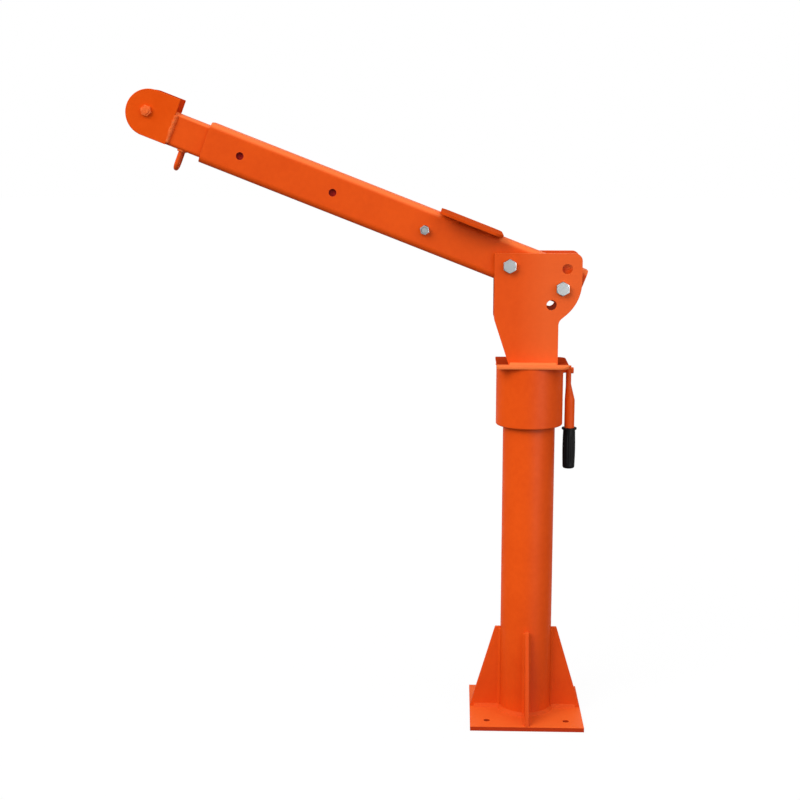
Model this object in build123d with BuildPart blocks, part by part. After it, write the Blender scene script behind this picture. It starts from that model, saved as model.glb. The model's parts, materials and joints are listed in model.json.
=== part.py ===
"""Pedestal swing crane for a truck bed: column, slewing head, luffing telescopic boom and sheave.

Frame: millimetres, +Z up. The origin is the centre of the base plate's underside, on the column
axis. The boom points to -X and rises at its middle lock hole. -Y is the near side, +Y the far side.
Along the boom, s runs from the pivot to the nose and t runs up, square to it, from the boom's axis.
"""
import os
from math import cos, radians, sin, tan

from build123d import *

# Clearances
running_clearance = 0.06  # radial, a shaft that turns in its bore
seat_clearance = 0.05  # radial, a pin or ring that stays in its bore
slip_gap = 0.3  # between faces that slide past each other
bolt_hole_clearance = 2.0  # radial, a bolt in a drilled hole

# Base
base_size = 250.0
base_thickness = 10.0
base_bolt_pitch = 175.0
base_bolt_hole = 14.0
column_diameter = 114.0
column_wall = 6.0
gusset_height = 189.0  # left and right
gusset_height_across = 196.0  # front and rear
gusset_thickness = 8.0
gusset_top_width = 12.0
cap_thickness = 10.0
cap_spigot_length = 14.0
cap_spigot_wall = 8.0
thrust_washer_thickness = 5.0
thrust_washer_diameter = 104.0
thrust_washer_bore = 60.0

# Slewing head
head_height = 797.0  # underside of the swivel plate above the truck bed
sleeve_wall = 8.0
sleeve_length = 132.0
sleeve_rim_radius = 3.0
bush_wall = 8.0
bush_length = 32.0
bush_recess = 12.0
swivel_nose_overhang = 0.5  # beyond the sleeve, under the boom
swivel_tail_overhang = 9.0  # beyond the sleeve, over the handle
swivel_side_overhang = 2.0
swivel_plate_thickness = 6.0
swivel_plate_corner = 18.0

# Bracket plates, measured from the boom pivot unless a line says otherwise
pivot_setback = 48.0  # pivot ahead of the column axis
pivot_rise = 212.5  # pivot above the swivel plate
side_plate_thickness = 8.0
side_gap = 3.0  # boom wall to bracket plate
bracket_nose = 32.5
bracket_tail = 154.5
bracket_top = 27.0
bracket_shoulder = 114.0  # depth at which the nose edge starts to slant
bracket_foot_nose = 48.0  # from the column axis
bracket_foot_tail = 57.5  # from the column axis
bracket_tail_radius = 94.0
bracket_tail_drop = 33.5  # depth at which the tail edge starts to curve
bracket_tail_turn = 50.0
bracket_waist_fillet = 18.0
bracket_shoulder_fillet = 20.0
bracket_top_fillet = 16.0
bracket_nose_fillet = 4.0
lock_radius = 123.0
lock_angle = 22.8  # middle lock hole, below the level of the pivot
lock_step = 20.0
lock_hole_count = 3

# Boom
boom_angle = 21.3
pivot_drop = 6.0  # pivot below the boom's axis
boom_width = 70.0
boom_height = 89.0
boom_wall = 5.0
boom_corner = 14.0
boom_tail = 161.0
boom_nose = 700.0
boom_tail_cut = 24.0
cross_bush_wall = 7.0
extension_first_hole = 197.0
extension_pitch = 211.5
extension_hole_count = 3
extension_sag = 1.8  # bolt below the middle of its holes
guide_thickness = 3.7
guide_length = 45.0
guide_width = 30.0
guide_setback = 6.0
inner_boom_wall = 4.0
inner_boom_corner = 8.0
inner_boom_overhang = 25.0  # inner boom behind the extension bolt

# Winch plate on the boom
winch_plate_station = 108.0
winch_plate_length = 142.0
winch_plate_width = 170.0
winch_plate_thickness = 6.0
winch_plate_corner = 22.0
winch_bolt_pitch = 84.0
winch_bolt_hole = 11.0

# Boom head, set out from the outer boom's nose
sheave_diameter = 72.0
sheave_end_gap = 9.0
sheave_rise = 2.0  # above the centre of the cheeks' round
sheave_hub_width = 24.0
sheave_hub_diameter = 34.0
sheave_rim_width = 18.0
sheave_web = 8.0
sheave_rim_depth = 13.0
sheave_bush_wall = 3.0
rope_groove_radius = 3.5
rope_groove_depth = 7.0
rope_groove_flare = 20.0
cheek_thickness = 6.0
cheek_radius = 50.0
cheek_setback = 6.0  # centre of the cheeks' round behind the sheave
cheek_overlap = 16.0
spacer_wall = 4.0
eye_rod_diameter = 10.0
eye_inside_width = 16.0
eye_depth = 46.0
eye_lead = 44.0  # eye ring ahead of the outer boom's nose
eye_setback = 50.0  # eye ring behind the inner boom's nose

# Handle on the sleeve
handle_boss_wall = 1.5
handle_boss_length = 6.0  # beyond the round of the sleeve
handle_top_gap = 1.5  # eye of the handle below the swivel plate
handle_flat_thickness = 11.0
handle_flat_width = 22.0
handle_flat_below = 28.5
handle_taper_length = 37.0
handle_offset = 3.7  # axis of the tube outside the middle of the flat
handle_tube_diameter = 22.0
handle_tube_wall = 2.5
handle_tube_length = 149.5
grip_length = 91.0
grip_wall = 2.2
grip_belly = 1.0
grip_end_wall = 3.0
grip_end_radius = 3.0
grip_collar_length = 4.0
grip_collar_width = 3.2
grip_flute_count = 12
grip_flute_radius = 1.6
grip_flute_depth = 0.7
grip_flute_margin = 10.0

# Bolts, by thread diameter
pivot_thread = 18.0
lock_thread = 18.0
extension_thread = 12.0
sheave_thread = 14.0
handle_thread = 8.0
hex_across_ratio = 1.5
hex_face_ratio = 0.95  # round end face over the width across flats
hex_head_ratio = 0.63
hex_nut_ratio = 0.85
thin_nut_ratio = 0.5
hex_rim_angle = 30.0
washer_ratio = 1.85
washer_thickness = 3.0
bolt_end_length = 5.0
sheave_end_length = 2.0

# Levels and radii that follow
column_radius = column_diameter / 2
sleeve_bore_radius = column_radius + bush_wall
sleeve_radius = sleeve_bore_radius + sleeve_wall
column_top = head_height - slip_gap - thrust_washer_thickness - cap_thickness
sleeve_bottom = head_height - sleeve_length
swivel_nose = sleeve_radius + swivel_nose_overhang
swivel_tail = sleeve_radius + swivel_tail_overhang
swivel_half = sleeve_radius + swivel_side_overhang
swivel_plate_top = head_height + swivel_plate_thickness

# Boom places that follow
pivot_x = -pivot_setback
pivot_z = swivel_plate_top + pivot_rise
side_inner = boom_width / 2 + side_gap
side_outer = side_inner + side_plate_thickness
cross_bush_half = side_inner - slip_gap
inner_boom_width = boom_width - 2 * (boom_wall + guide_thickness + slip_gap)
inner_boom_height = boom_height - 2 * (boom_wall + guide_thickness + slip_gap)
inner_boom_tail = extension_first_hole - inner_boom_overhang
eye_station = boom_nose + eye_lead
inner_boom_nose = eye_station + eye_setback
sheave_station = inner_boom_nose + sheave_end_gap + sheave_diameter / 2
cheek_inner = inner_boom_width / 2
cheek_outer = cheek_inner + cheek_thickness
cheek_station = sheave_station - cheek_setback
cheek_lift = cheek_radius - inner_boom_height / 2
sheave_lift = cheek_lift + sheave_rise

# Handle places that follow
handle_boss_radius = handle_thread / 2 + seat_clearance + handle_boss_wall
handle_axis_z = head_height - handle_top_gap - handle_flat_width / 2
handle_boss_end = sleeve_radius + handle_boss_length
handle_flat_x = handle_boss_end + slip_gap
handle_head_x = handle_flat_x + handle_flat_thickness + slip_gap
handle_flat_middle = handle_flat_x + handle_flat_thickness / 2
handle_tube_x = handle_flat_middle + handle_offset
handle_flat_bottom = handle_axis_z - handle_flat_below
handle_tube_top = handle_flat_bottom - handle_taper_length
handle_tube_bottom = handle_tube_top - handle_tube_length
grip_bottom = handle_tube_bottom - grip_end_wall
grip_top = grip_bottom + grip_length
grip_radius = handle_tube_diameter / 2 + seat_clearance + grip_wall

boom_axis = Vector(-cos(radians(boom_angle)), 0, sin(radians(boom_angle)))
boom_up = Vector(sin(radians(boom_angle)), 0, cos(radians(boom_angle)))
boom_origin = Vector(pivot_x, 0, pivot_z) + boom_up * pivot_drop
boom_side = Plane(origin=boom_origin, x_dir=boom_axis, z_dir=(0, 1, 0))
lock_lag = radians(lock_angle - boom_angle)  # between the boom's axis and the line to the lock hole
lock_s = -lock_radius * cos(lock_lag)
lock_t = -lock_radius * sin(lock_lag) - pivot_drop


def boom_section(s):
    """Plane square to the boom at station s: x towards the near side, y up the section."""
    return Plane(origin=boom_side.from_local_coords((s, 0, 0)), x_dir=(0, -1, 0), z_dir=boom_axis)


def boom_cross(s, t, y, facing):
    """Plane of a bolt across the boom at (s, t) and depth y, facing -1 (near) or 1 (far)."""
    return Plane(origin=boom_side.from_local_coords((s, t, y)), x_dir=boom_axis, z_dir=(0, facing, 0))


def lock_point():
    """The middle lock hole, which the boom is locked in, as (x, z)."""
    point = boom_side.from_local_coords((lock_s, lock_t, 0))
    return point.X, point.Z


def bracket_cross(x, z, y, facing):
    """Plane of a bolt across the bracket at (x, z) and depth y, facing -1 (near) or 1 (far)."""
    return Plane(origin=(x, y, z), x_dir=(0, 0, 1), z_dir=(0, facing, 0))


def tube(plane, outer_radius, inner_radius, length):
    """Tube of a given length, standing on a plane."""
    with BuildPart() as piece:
        with BuildSketch(plane):
            Circle(outer_radius)
            Circle(inner_radius, mode=Mode.SUBTRACT)
        extrude(amount=length)
    return piece


def hexagon(plane, thread, height):
    """Hexagon on a plane with its outer rim chamfered, as on a bolt head or a nut."""
    flat = hex_across_ratio * thread / 2
    face = hex_face_ratio * flat
    reach = 2 * flat  # outside the corners
    rim_drop = (reach - face) * tan(radians(hex_rim_angle))
    with BuildPart() as piece:
        with BuildSketch(plane):
            RegularPolygon(radius=flat, side_count=6, major_radius=False)
        extrude(amount=height)
        with BuildSketch(Plane(plane.origin, x_dir=plane.x_dir, z_dir=-plane.y_dir)):
            with BuildLine():
                Polyline(
                    (0, 0),
                    (reach, 0),
                    (reach, height - rim_drop),
                    (face, height),
                    (0, height),
                    close=True,
                )
            make_face()
        revolve(axis=Axis(plane.origin, plane.z_dir), mode=Mode.INTERSECT)
    return piece


def hex_bolt(plane, thread, grip):
    """Hex bolt whose head stands on a plane and whose shank runs back through it by the grip length."""
    head = hexagon(plane, thread, hex_head_ratio * thread)
    with BuildPart() as piece:
        add(head.part)
        with BuildSketch(plane):
            Circle(thread / 2)
        extrude(amount=-grip)
    return piece


def hex_nut(plane, thread, height_ratio=hex_nut_ratio):
    """Hex nut standing on a plane."""
    height = height_ratio * thread
    body = hexagon(plane, thread, height)
    with BuildPart() as piece:
        add(body.part)
        with BuildSketch(plane):
            Circle(thread / 2 + seat_clearance)
        extrude(amount=height, mode=Mode.SUBTRACT)
    return piece


def washer(plane, thread):
    """Plain washer standing on a plane."""
    return tube(plane, washer_ratio * thread / 2, thread / 2 + seat_clearance, washer_thickness)


def finish(builder, label):
    """Label a piece and write it to its own file."""
    builder.part.label = label
    export_step(builder.part, f"parts/{label}.step")


os.makedirs("parts", exist_ok=True)

# Base plate with its four bolt holes
with BuildPart() as base_plate:
    with BuildSketch():
        Rectangle(base_size, base_size)
        with GridLocations(base_bolt_pitch, base_bolt_pitch, 2, 2):
            Circle(base_bolt_hole / 2, mode=Mode.SUBTRACT)
    extrude(amount=base_thickness)
finish(base_plate, "base_plate")

# Column pipe
with BuildPart() as column:
    with BuildSketch(Plane.XY.offset(base_thickness)):
        Circle(column_radius)
        Circle(column_radius - column_wall, mode=Mode.SUBTRACT)
    extrude(amount=column_top - base_thickness)
finish(column, "column")

# Gussets, from the plate's edge up to a short flat top, cut to the round of the column
gussets = (
    ("right", 0, gusset_height),
    ("rear", 90, gusset_height_across),
    ("left", 180, gusset_height),
    ("front", 270, gusset_height_across),
)
for side, turn, height in gussets:
    gusset_top = base_thickness + height
    with BuildPart() as gusset:
        with BuildSketch(Plane.XZ.rotated((0, 0, turn))):
            with BuildLine():
                Polyline(
                    (0, base_thickness),
                    (base_size / 2, base_thickness),
                    (column_radius + gusset_top_width, gusset_top),
                    (0, gusset_top),
                    close=True,
                )
            make_face()
        extrude(amount=gusset_thickness / 2, both=True)
        Cylinder(column_radius, 2 * gusset_top, mode=Mode.SUBTRACT)
    finish(gusset, f"gusset_{side}")

# Cap that closes the pipe, with a spigot inside it
with BuildPart() as column_cap:
    spigot_radius = column_radius - column_wall - seat_clearance
    with BuildSketch(Plane.XY.offset(column_top)):
        Circle(column_radius)
    extrude(amount=cap_thickness)
    with BuildSketch(Plane.XY.offset(column_top)):
        Circle(spigot_radius)
        Circle(spigot_radius - cap_spigot_wall, mode=Mode.SUBTRACT)
    extrude(amount=-cap_spigot_length)
finish(column_cap, "column_cap")

# Thrust washer that carries the head
thrust_washer = tube(
    Plane.XY.offset(column_top + cap_thickness),
    thrust_washer_diameter / 2,
    thrust_washer_bore / 2,
    thrust_washer_thickness,
)
finish(thrust_washer, "thrust_washer")

# Sleeve over the column, drilled for the handle's screw
with BuildPart() as sleeve:
    with BuildSketch(Plane.XY.offset(sleeve_bottom)):
        Circle(sleeve_radius)
        Circle(sleeve_bore_radius, mode=Mode.SUBTRACT)
    extrude(amount=sleeve_length)
    rim = sleeve.edges().filter_by(GeomType.CIRCLE).group_by(Axis.Z)[0].sort_by(SortBy.LENGTH)[-1]
    fillet(rim, sleeve_rim_radius)
    with BuildSketch(Plane.YZ):
        with Locations((0, handle_axis_z)):
            Circle(handle_thread / 2 + seat_clearance)
    extrude(amount=2 * sleeve_radius, mode=Mode.SUBTRACT)
finish(sleeve, "sleeve")

# Two plain bearing rings between sleeve and column
bush_levels = (
    ("lower", sleeve_bottom + bush_recess),
    ("upper", column_top - bush_recess - bush_length),
)
for place, level in bush_levels:
    sleeve_bush = tube(
        Plane.XY.offset(level),
        sleeve_bore_radius - seat_clearance,
        column_radius + running_clearance,
        bush_length,
    )
    finish(sleeve_bush, f"sleeve_bush_{place}")

# Swivel plate, its two corners beside the handle rounded
with BuildPart() as swivel_plate:
    with BuildSketch(Plane.XY.offset(head_height)):
        with Locations(((swivel_tail - swivel_nose) / 2, 0)):
            Rectangle(swivel_nose + swivel_tail, 2 * swivel_half)
    extrude(amount=swivel_plate_thickness)
    fillet(swivel_plate.edges().filter_by(Axis.Z).group_by(Axis.X)[-1], swivel_plate_corner)
finish(swivel_plate, "swivel_plate")

# Outline of the two bracket plates, drawn as seen from the near side
nose_x = pivot_x - bracket_nose
tail_x = pivot_x + bracket_tail
top_z = pivot_z + bracket_top
shoulder_z = pivot_z - bracket_shoulder
lock_sweep = lock_step * (lock_hole_count - 1)
lock_start = -lock_angle - lock_sweep / 2
with BuildSketch() as bracket_outline:
    with BuildLine():
        tail_arc = JernArc(
            (tail_x, pivot_z - bracket_tail_drop),
            (0, -1),
            bracket_tail_radius,
            -bracket_tail_turn,
        )
        run = (tail_arc @ 1).X - bracket_foot_tail
        waist = (bracket_foot_tail, (tail_arc @ 1).Y - run / tan(radians(bracket_tail_turn)))
        Polyline(
            tail_arc @ 1,
            waist,
            (bracket_foot_tail, swivel_plate_top),
            (-bracket_foot_nose, swivel_plate_top),
            (nose_x, shoulder_z),
            (nose_x, top_z),
            (tail_x, top_z),
            tail_arc @ 0,
        )
    make_face()
    rounded_corners = (
        (waist, bracket_waist_fillet),
        ((nose_x, shoulder_z), bracket_shoulder_fillet),
        ((nose_x, top_z), bracket_nose_fillet),
        ((tail_x, top_z), bracket_top_fillet),
    )
    for corner, radius in rounded_corners:
        fillet(bracket_outline.vertices().sort_by_distance(corner)[0], radius)
    with Locations((pivot_x, pivot_z)):
        Circle(pivot_thread / 2 + seat_clearance, mode=Mode.SUBTRACT)
        with PolarLocations(lock_radius, lock_hole_count, lock_start, lock_sweep, endpoint=True):
            Circle(lock_thread / 2 + bolt_hole_clearance, mode=Mode.SUBTRACT)

for side, depth in (("near", side_inner), ("far", -side_outer)):
    with BuildPart() as side_plate:
        with BuildSketch(Plane.XZ.offset(depth)):
            add(bracket_outline.sketch)
        extrude(amount=side_plate_thickness)
    finish(side_plate, f"side_plate_{side}")

# Pivot bolt through both bracket plates, head on the near side
pivot_nut_seat = side_outer + washer_thickness
pivot_grip = side_outer + pivot_nut_seat + hex_nut_ratio * pivot_thread + bolt_end_length
pivot_bolt = hex_bolt(bracket_cross(pivot_x, pivot_z, -side_outer, -1), pivot_thread, pivot_grip)
finish(pivot_bolt, "pivot_bolt")
pivot_washer = washer(bracket_cross(pivot_x, pivot_z, side_outer, 1), pivot_thread)
finish(pivot_washer, "pivot_washer")
pivot_nut = hex_nut(bracket_cross(pivot_x, pivot_z, pivot_nut_seat, 1), pivot_thread)
finish(pivot_nut, "pivot_nut")

# Lock bolt, open between the bracket plates so that the boom can swing: head end and thread end
lock_x, lock_z = lock_point()
lock_bolt = hex_bolt(bracket_cross(lock_x, lock_z, -side_outer, -1), lock_thread, side_plate_thickness)
finish(lock_bolt, "lock_bolt")
with BuildPart() as lock_bolt_end:
    with BuildSketch(bracket_cross(lock_x, lock_z, side_inner, 1)):
        Circle(lock_thread / 2)
    extrude(amount=side_plate_thickness + washer_thickness + hex_nut_ratio * lock_thread + bolt_end_length)
finish(lock_bolt_end, "lock_bolt_end")
lock_washer = washer(bracket_cross(lock_x, lock_z, side_outer, 1), lock_thread)
finish(lock_washer, "lock_washer")
lock_nut = hex_nut(bracket_cross(lock_x, lock_z, side_outer + washer_thickness, 1), lock_thread)
finish(lock_nut, "lock_nut")

# Handle boss, a short tube seated on the round of the sleeve, and its screw
with BuildPart() as handle_boss:
    with BuildSketch(Plane.YZ):
        with Locations((0, handle_axis_z)):
            Circle(handle_boss_radius)
            Circle(handle_thread / 2 + seat_clearance, mode=Mode.SUBTRACT)
    extrude(amount=handle_boss_end)
    Cylinder(sleeve_radius, 2 * swivel_plate_top, mode=Mode.SUBTRACT)
finish(handle_boss, "handle_boss")

screw_plane = Plane(origin=(handle_head_x, 0, handle_axis_z), x_dir=(0, 0, 1), z_dir=(1, 0, 0))
handle_screw = hex_bolt(screw_plane, handle_thread, handle_head_x - sleeve_bore_radius)
finish(handle_screw, "handle_screw")

# Handle: a tube flattened at its top into an eye, then round down to the grip
with BuildPart() as handle_lever:
    with BuildSketch(Plane.XY.offset(handle_flat_bottom)):
        with Locations((handle_flat_middle, 0)):
            SlotOverall(handle_flat_width, handle_flat_thickness, rotation=90)
    extrude(amount=handle_flat_below + handle_flat_width / 2)
    with BuildSketch(Plane.YZ.offset(handle_flat_x)):
        with Locations((0, handle_axis_z)):
            Circle(handle_flat_width / 2)
            Rectangle(handle_flat_width, handle_flat_below, align=(Align.CENTER, Align.MAX))
            Circle(handle_thread / 2 + running_clearance, mode=Mode.SUBTRACT)
    extrude(amount=handle_flat_thickness, mode=Mode.INTERSECT)
    with BuildSketch(Plane.XY.offset(handle_flat_bottom)):
        with Locations((handle_flat_middle, 0)):
            SlotOverall(handle_flat_width, handle_flat_thickness, rotation=90)
    with BuildSketch(Plane.XY.offset(handle_tube_top)):
        with Locations((handle_tube_x, 0)):
            Circle(handle_tube_diameter / 2)
    loft()
    with BuildSketch(Plane.XY.offset(handle_tube_top)):
        with Locations((handle_tube_x, 0)):
            Circle(handle_tube_diameter / 2)
    extrude(amount=-handle_tube_length)
    with BuildSketch(Plane.XY.offset(handle_tube_bottom)):
        with Locations((handle_tube_x, 0)):
            Circle(handle_tube_diameter / 2 - handle_tube_wall)
    extrude(amount=handle_tube_length, mode=Mode.SUBTRACT)
finish(handle_lever, "handle_lever")

# Grip: a barrel with a collar at its top, a rounded end and shallow flutes
barrel_top = grip_top - grip_collar_length
collar_radius = grip_radius + grip_collar_width
flute_circle = grip_radius + grip_belly + grip_flute_radius - grip_flute_depth
with BuildPart() as handle_grip:
    with BuildSketch(Plane((handle_tube_x, 0, 0), x_dir=(1, 0, 0), z_dir=(0, -1, 0))):
        with BuildLine():
            Polyline(
                (grip_radius, barrel_top),
                (collar_radius, barrel_top),
                (collar_radius, grip_top),
                (0, grip_top),
                (0, grip_bottom),
                (grip_radius, grip_bottom),
            )
            ThreePointArc(
                (grip_radius, grip_bottom),
                (grip_radius + grip_belly, (barrel_top + grip_bottom) / 2),
                (grip_radius, barrel_top),
            )
        make_face()
    revolve(axis=Axis((handle_tube_x, 0, 0), (0, 0, 1)))
    fillet(handle_grip.edges().group_by(Axis.Z)[0], grip_end_radius)
    with BuildSketch(Plane((handle_tube_x, 0, grip_bottom + grip_flute_margin))):
        with PolarLocations(flute_circle, grip_flute_count):
            Circle(grip_flute_radius)
    extrude(amount=barrel_top - grip_bottom - 2 * grip_flute_margin, mode=Mode.SUBTRACT)
    with BuildSketch(Plane((handle_tube_x, 0, handle_tube_bottom))):
        Circle(handle_tube_diameter / 2 + seat_clearance)
    extrude(amount=grip_length, mode=Mode.SUBTRACT)
finish(handle_grip, "handle_grip")

# Outer boom: a rounded rectangular tube, cross-drilled, with its lower tail corner cut off
with BuildPart() as outer_boom:
    with BuildSketch(boom_section(-boom_tail)):
        RectangleRounded(boom_width, boom_height, boom_corner)
        RectangleRounded(
            boom_width - 2 * boom_wall,
            boom_height - 2 * boom_wall,
            boom_corner - boom_wall,
            mode=Mode.SUBTRACT,
        )
    extrude(amount=boom_tail + boom_nose)
    with BuildSketch(boom_side):
        with Locations((0, -pivot_drop)):
            Circle(pivot_thread / 2 + cross_bush_wall + seat_clearance)
        with Locations((lock_s, lock_t)):
            Circle(lock_thread / 2 + cross_bush_wall + seat_clearance)
        for hole in range(extension_hole_count):
            with Locations((extension_first_hole + hole * extension_pitch, 0)):
                Circle(extension_thread / 2 + bolt_hole_clearance)
        with BuildLine():
            Polyline(
                (-boom_tail, -boom_height / 2),
                (-boom_tail + boom_tail_cut, -boom_height / 2),
                (-boom_tail, -boom_height / 2 + boom_tail_cut),
                close=True,
            )
        make_face()
    extrude(amount=boom_width, both=True, mode=Mode.SUBTRACT)
finish(outer_boom, "outer_boom")

# Cross tubes through the boom, for the pivot bolt and the lock bolt
pivot_bush = tube(
    boom_cross(0, -pivot_drop, -cross_bush_half, 1),
    pivot_thread / 2 + cross_bush_wall,
    pivot_thread / 2 + running_clearance,
    2 * cross_bush_half,
)
finish(pivot_bush, "pivot_bush")
lock_bush = tube(
    boom_cross(lock_s, lock_t, -cross_bush_half, 1),
    lock_thread / 2 + cross_bush_wall,
    lock_thread / 2 + bolt_hole_clearance,
    2 * cross_bush_half,
)
finish(lock_bush, "lock_bush")

# Winch plate on the boom's top face
winch_origin = boom_side.from_local_coords((winch_plate_station, boom_height / 2, 0))
with BuildPart() as winch_plate:
    with BuildSketch(Plane(origin=winch_origin, x_dir=boom_axis, z_dir=boom_up)):
        RectangleRounded(winch_plate_length, winch_plate_width, winch_plate_corner)
        with GridLocations(winch_bolt_pitch, winch_bolt_pitch, 2, 2):
            Circle(winch_bolt_hole / 2, mode=Mode.SUBTRACT)
    extrude(amount=winch_plate_thickness)
finish(winch_plate, "winch_plate")

# Extension bolt, resting low in the rear cross holes, its nut on the near side
extension_seat = boom_width / 2 + washer_thickness
extension_grip = boom_width / 2 + extension_seat + hex_nut_ratio * extension_thread + bolt_end_length
extension_bolt = hex_bolt(
    boom_cross(extension_first_hole, -extension_sag, extension_seat, 1), extension_thread, extension_grip
)
finish(extension_bolt, "extension_bolt")
extension_washer = washer(
    boom_cross(extension_first_hole, -extension_sag, boom_width / 2, 1), extension_thread
)
finish(extension_washer, "extension_washer")
extension_nut = hex_nut(
    boom_cross(extension_first_hole, -extension_sag, -boom_width / 2, -1), extension_thread
)
finish(extension_nut, "extension_nut")

# Slide strips in the boom's mouth: above, below and on both sides of the inner boom
with BuildPart() as boom_front_guide:
    with BuildSketch(boom_section(boom_nose - guide_setback)):
        with GridLocations(0, boom_height - 2 * boom_wall - guide_thickness, 1, 2):
            Rectangle(guide_width, guide_thickness)
        with GridLocations(boom_width - 2 * boom_wall - guide_thickness, 0, 2, 1):
            Rectangle(guide_thickness, guide_width)
    extrude(amount=-guide_length)
finish(boom_front_guide, "boom_front_guide")

# Inner boom, its rear end notched to pass the extension bolt
notch_radius = extension_thread / 2 + slip_gap
with BuildPart() as inner_boom:
    with BuildSketch(boom_section(inner_boom_tail)):
        RectangleRounded(inner_boom_width, inner_boom_height, inner_boom_corner)
        RectangleRounded(
            inner_boom_width - 2 * inner_boom_wall,
            inner_boom_height - 2 * inner_boom_wall,
            inner_boom_corner - inner_boom_wall,
            mode=Mode.SUBTRACT,
        )
    extrude(amount=inner_boom_nose - inner_boom_tail)
    with BuildSketch(boom_side):
        with Locations((extension_first_hole, -extension_sag)):
            Circle(notch_radius)
            Rectangle(inner_boom_overhang, 2 * notch_radius, align=(Align.MAX, Align.CENTER))
    extrude(amount=inner_boom_width, both=True, mode=Mode.SUBTRACT)
finish(inner_boom, "inner_boom")

# Slide strips on the rear end of the inner boom, above and below it
with BuildPart() as boom_rear_guide:
    with BuildSketch(boom_section(inner_boom_tail + guide_setback)):
        with GridLocations(0, inner_boom_height + guide_thickness, 1, 2):
            Rectangle(guide_width, guide_thickness)
    extrude(amount=guide_length)
finish(boom_rear_guide, "boom_rear_guide")

# Head cheeks: a straight rear part on the inner boom's sides and a half-round nose
cheek_tail = inner_boom_nose - cheek_overlap
cheek_low = cheek_lift - cheek_radius
cheek_high = cheek_lift + cheek_radius
with BuildSketch() as cheek_outline:
    with BuildLine():
        Polyline(
            (cheek_station, cheek_high),
            (cheek_tail, cheek_high),
            (cheek_tail, cheek_low),
            (cheek_station, cheek_low),
        )
        ThreePointArc(
            (cheek_station, cheek_low),
            (cheek_station + cheek_radius, cheek_lift),
            (cheek_station, cheek_high),
        )
    make_face()
    with Locations((sheave_station, sheave_lift)):
        Circle(sheave_thread / 2 + seat_clearance, mode=Mode.SUBTRACT)

for side, depth in (("near", -cheek_outer), ("far", cheek_inner)):
    with BuildPart() as head_cheek:
        with BuildSketch(boom_side.offset(depth)):
            add(cheek_outline.sketch)
        extrude(amount=cheek_thickness)
    finish(head_cheek, f"head_cheek_{side}")

# Sheave bolt, thin nut on the near side, and the two spacers that keep the sheave in the middle
sheave_grip = 2 * cheek_outer + thin_nut_ratio * sheave_thread + sheave_end_length
sheave_bolt = hex_bolt(boom_cross(sheave_station, sheave_lift, cheek_outer, 1), sheave_thread, sheave_grip)
finish(sheave_bolt, "sheave_bolt")
sheave_nut = hex_nut(
    boom_cross(sheave_station, sheave_lift, -cheek_outer, -1), sheave_thread, thin_nut_ratio
)
finish(sheave_nut, "sheave_nut")

spacer_bore = sheave_thread / 2 + seat_clearance
spacer_start = sheave_hub_width / 2 + slip_gap
with BuildPart() as sheave_spacers:
    with BuildSketch(boom_side.offset(spacer_start), boom_side.offset(-cheek_inner)):
        with Locations((sheave_station, sheave_lift)):
            Circle(spacer_bore + spacer_wall)
            Circle(spacer_bore, mode=Mode.SUBTRACT)
    extrude(amount=cheek_inner - spacer_start)
finish(sheave_spacers, "sheave_spacers")

# Sheave: hub, web and grooved rim turned about the bolt
sheave_centre = boom_side.from_local_coords((sheave_station, sheave_lift, 0))
sheave_radius = sheave_diameter / 2
sheave_bush_bore = sheave_thread / 2 + running_clearance
sheave_bush_radius = sheave_bush_bore + sheave_bush_wall
rim_inner = sheave_radius - sheave_rim_depth
groove_centre = sheave_radius - rope_groove_depth + rope_groove_radius
groove_mouth = rope_groove_radius + (sheave_radius - groove_centre) * tan(radians(rope_groove_flare))
with BuildPart() as sheave:
    with BuildSketch(Plane(sheave_centre)):
        with Locations((rim_inner, 0)):
            Rectangle(sheave_rim_depth, sheave_rim_width, align=(Align.MIN, Align.CENTER))
        with Locations((sheave_bush_radius, 0)):
            Rectangle(rim_inner - sheave_bush_radius, sheave_web, align=(Align.MIN, Align.CENTER))
            Rectangle(
                sheave_hub_diameter / 2 - sheave_bush_radius,
                sheave_hub_width,
                align=(Align.MIN, Align.CENTER),
            )
        with Locations((groove_centre, 0)):
            Circle(rope_groove_radius, mode=Mode.SUBTRACT)
        with BuildLine():
            Polyline(
                (groove_centre, -rope_groove_radius),
                (sheave_radius, -groove_mouth),
                (sheave_radius, groove_mouth),
                (groove_centre, rope_groove_radius),
                close=True,
            )
        make_face(mode=Mode.SUBTRACT)
    revolve(axis=Axis(sheave_centre, (0, 1, 0)))
finish(sheave, "sheave")

sheave_bush = tube(
    boom_cross(sheave_station, sheave_lift, -sheave_hub_width / 2, 1),
    sheave_bush_radius - seat_clearance,
    sheave_bush_bore,
    sheave_hub_width,
)
finish(sheave_bush, "sheave_bush")

# Eye ring: a bent rod under the inner boom
eye_half = (eye_inside_width + eye_rod_diameter) / 2
eye_seat = -inner_boom_height / 2
eye_bend = eye_seat - eye_depth + eye_rod_diameter / 2 + eye_half
with BuildPart() as eye_ring:
    with BuildLine(boom_section(eye_station)) as eye_path:
        Line((-eye_half, eye_seat), (-eye_half, eye_bend))
        ThreePointArc((-eye_half, eye_bend), (0, eye_bend - eye_half), (eye_half, eye_bend))
        Line((eye_half, eye_bend), (eye_half, eye_seat))
    with BuildSketch(Plane(eye_path.line @ 0, z_dir=eye_path.line % 0)):
        Circle(eye_rod_diameter / 2)
    sweep()
finish(eye_ring, "eye_ring")
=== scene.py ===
"""Truck-bed swing crane: finishes, softened steelwork, weld beads, bolts, grip and stage.

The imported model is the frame. Lengths are metres in its axes: +Z up, the boom points to -X and the
near side is -Y. Along the boom, s runs from the pivot to the nose and t runs up, square to it, from
the boom's axis.
"""
import json
import math
import random

import bpy
from bpy.props import FloatProperty, FloatVectorProperty, IntProperty, PointerProperty
from mathutils import Matrix, Vector


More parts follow.
